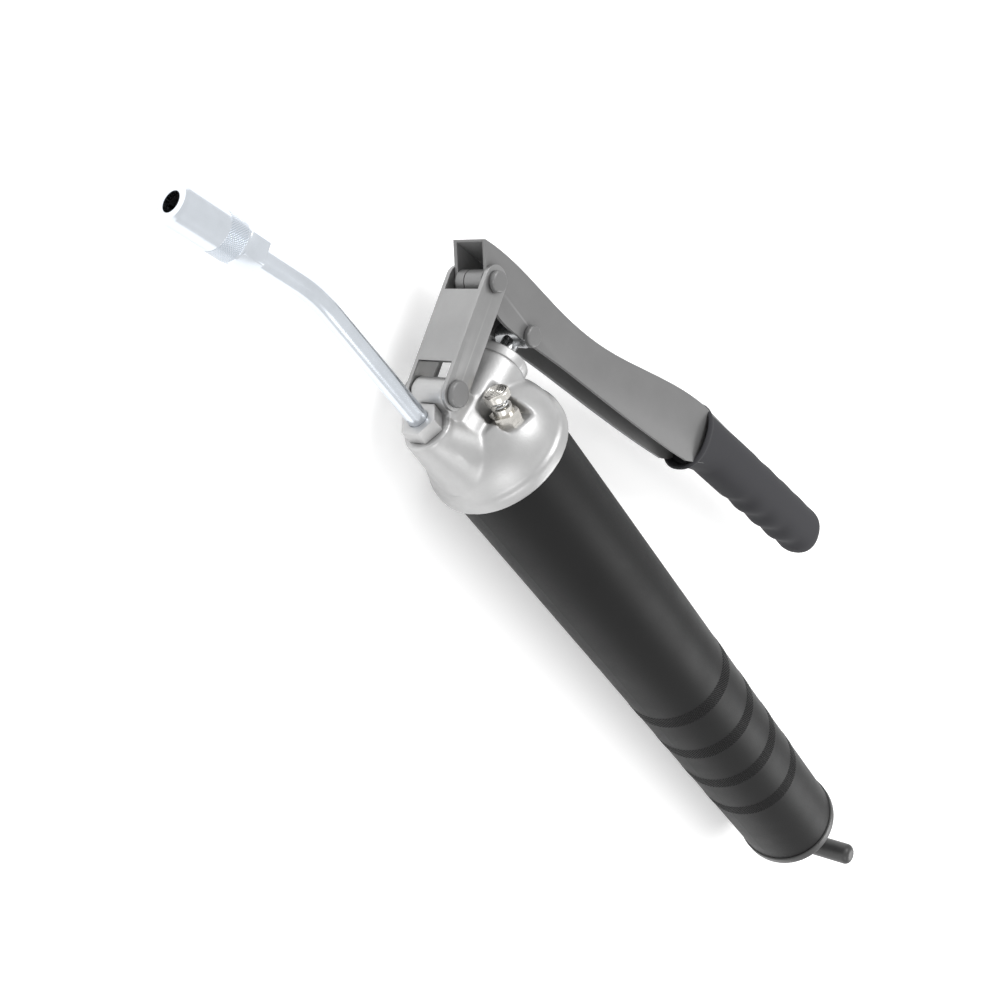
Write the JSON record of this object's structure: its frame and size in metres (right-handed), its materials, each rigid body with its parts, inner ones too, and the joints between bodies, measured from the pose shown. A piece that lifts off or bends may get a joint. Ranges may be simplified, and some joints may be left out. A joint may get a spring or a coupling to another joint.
{
  "type": "lever grease gun",
  "caption": "Hand lever grease gun with a cast head, toggle link, bent outlet tube with coupler, painted barrel and pull-out follower rod.",
  "frame": {"origin": "point on the barrel's axis in the plane where the barrel leaves the head's rim", "axes": "+X forward along the barrel to the outlet; the lever is on the -Y side; +Z is parallel to the linkage pins, up as the gun lies on its side"},
  "size_m": [0.6127, 0.1965, 0.0648],
  "materials": {
    "cast_head": "die-cast, fine matt grain",
    "black_rubber": "matt",
    "bright_steel": "ground",
    "zinc_plate": "bright zinc plate",
    "dark_steel": "blackened",
    "nickel_plate": "nickel plate",
    "barrel_paint": "satin black powder coat",
    "black_plastic": "satin",
    "grey_steel": "satin grey plate",
    "grip_vinyl": "soft vinyl"
  },
  "bodies": {
    "gun": {"head_casting": "cast_head", "plunger_gland": "cast_head", "plunger_seal": "black_rubber", "outlet_ball": "bright_steel", "outlet_spring": "bright_steel", "outlet_nut": "zinc_plate", "outlet_tube": "zinc_plate", "coupler_body": "zinc_plate", "coupler_sleeve": "zinc_plate", "coupler_jaws": "dark_steel", "coupler_seal": "black_rubber", "bleeder_body": "nickel_plate", "bleeder_spring": "bright_steel", "barrel": "barrel_paint", "barrel_gasket": "black_rubber", "end_cap": "barrel_paint", "rod_bushing": "black_plastic", "follower_spring": "bright_steel"},
    "link": {"toggle_link": "grey_steel", "link_lower_pin": "grey_steel"},
    "lever": {"lever": "grey_steel", "lever_grip": "grip_vinyl", "link_upper_pin": "grey_steel", "pin_spacers": "grey_steel"},
    "plunger": {"plunger": "bright_steel", "plunger_pin": "grey_steel"},
    "bleeder_button": {"bleeder_button": "nickel_plate"},
    "follower": {"follower_cup": "black_rubber"},
    "rod": {"follower_rod": "bright_steel", "follower_washers": "bright_steel", "rod_nut": "bright_steel", "rod_handle": "black_plastic"}
  },
  "joints": [
    {"name": "link_rock", "type": "hinge", "parent": "gun", "child": "link", "pos_m": [0.049, 0.0066, 0], "axis": [0, 0, -1], "range_deg": [-1.5, 2.5]},
    {"name": "lever_swing", "type": "hinge", "parent": "link", "child": "lever", "pos_m": [0.0605, -0.042, 0], "axis": [0, 0, -1], "range_deg": [-25.5, 12.5]},
    {"name": "plunger_stroke", "type": "slide", "parent": "gun", "child": "plunger", "axis": [0, 1, 0], "range_m": [-0.0145, 0.0075]},
    {"name": "bleeder_press", "type": "slide", "parent": "gun", "child": "bleeder_button", "axis": [-0.9613, 0.2756, 0], "range_m": [0, 0.0022], "stiffness_N_per_m": 900, "springref_m": -0.001, "deforming": ["bleeder_spring"]},
    {"name": "follower_pull", "type": "slide", "parent": "gun", "child": "follower", "axis": [-1, 0, 0], "range_m": [0, 0.3], "stiffness_N_per_m": 120, "springref_m": -0.02, "deforming": ["follower_spring"]},
    {"name": "rod_spin", "type": "hinge", "parent": "follower", "child": "rod", "pos_m": [-0.4186, 0, 0], "axis": [1, 0, 0], "continuous": true}
  ],
  "couplings": [
    {"joint": "link_rock", "follows": "lever_swing", "ratio": -0.0662},
    {"joint": "plunger_stroke", "follows": "lever_swing", "m_per_rad": 0.03147}
  ]
}
